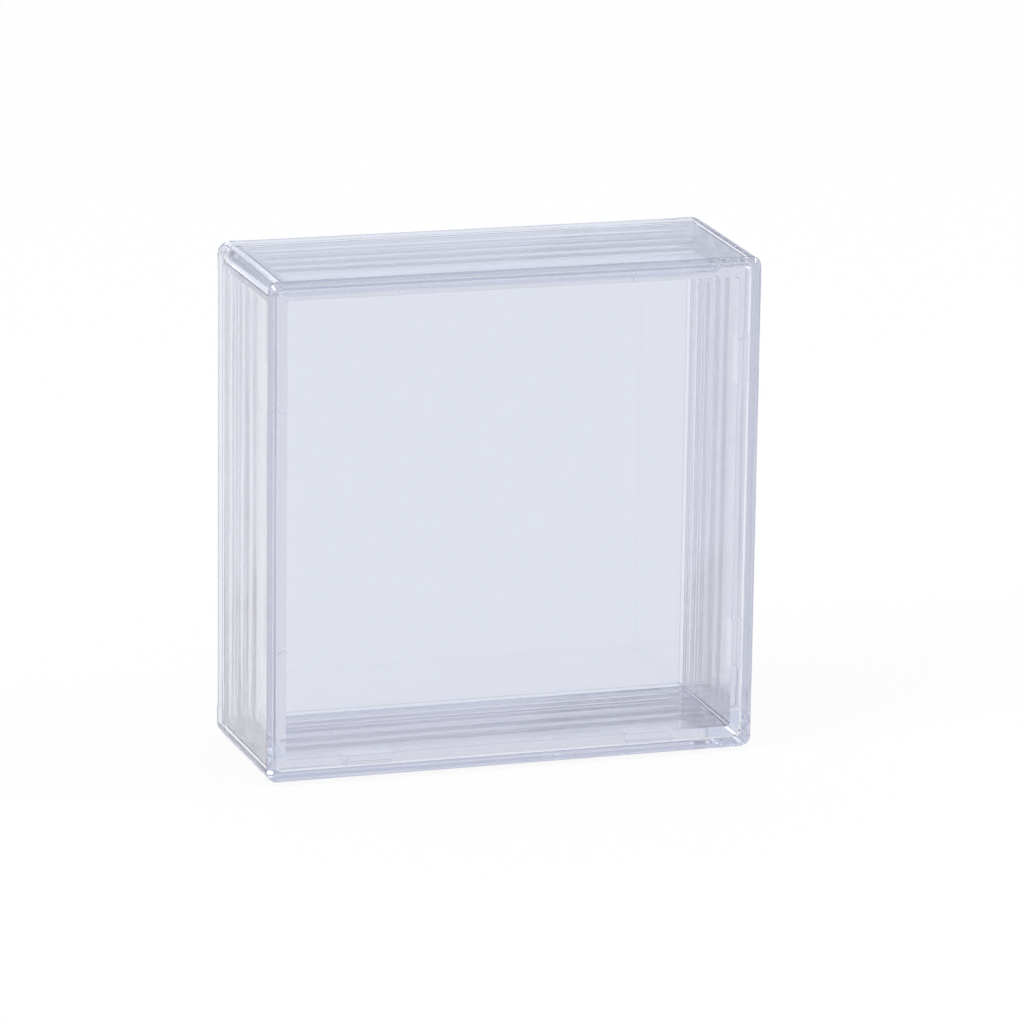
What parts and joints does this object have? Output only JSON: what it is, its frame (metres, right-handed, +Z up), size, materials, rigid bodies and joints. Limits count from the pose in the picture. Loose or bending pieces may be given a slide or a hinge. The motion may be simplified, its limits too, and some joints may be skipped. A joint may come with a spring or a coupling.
{
  "type": "puck display case",
  "caption": "Clear square display case for a hockey puck: a cover with a front window slides over a shallow tray and seats against the tray's rear rim.",
  "frame": {"origin": "on the ground, under the middle of the closed case", "axes": "+Z up, front window towards -Y, rear rim towards +Y, +X to the right seen from the front"},
  "size_m": [0.0864, 0.0324, 0.0865],
  "materials": {
    "clear_cover": "polished clear moulding",
    "clear_tray": "polished clear moulding"
  },
  "bodies": {
    "tray": {"rear_tray": "clear_tray"},
    "cover": {"front_cover": "clear_cover"}
  },
  "joints": [
    {"name": "cover_pull", "type": "slide", "parent": "tray", "child": "cover", "axis": [0, -1, 0], "range_m": [0, 0.04]}
  ]
}
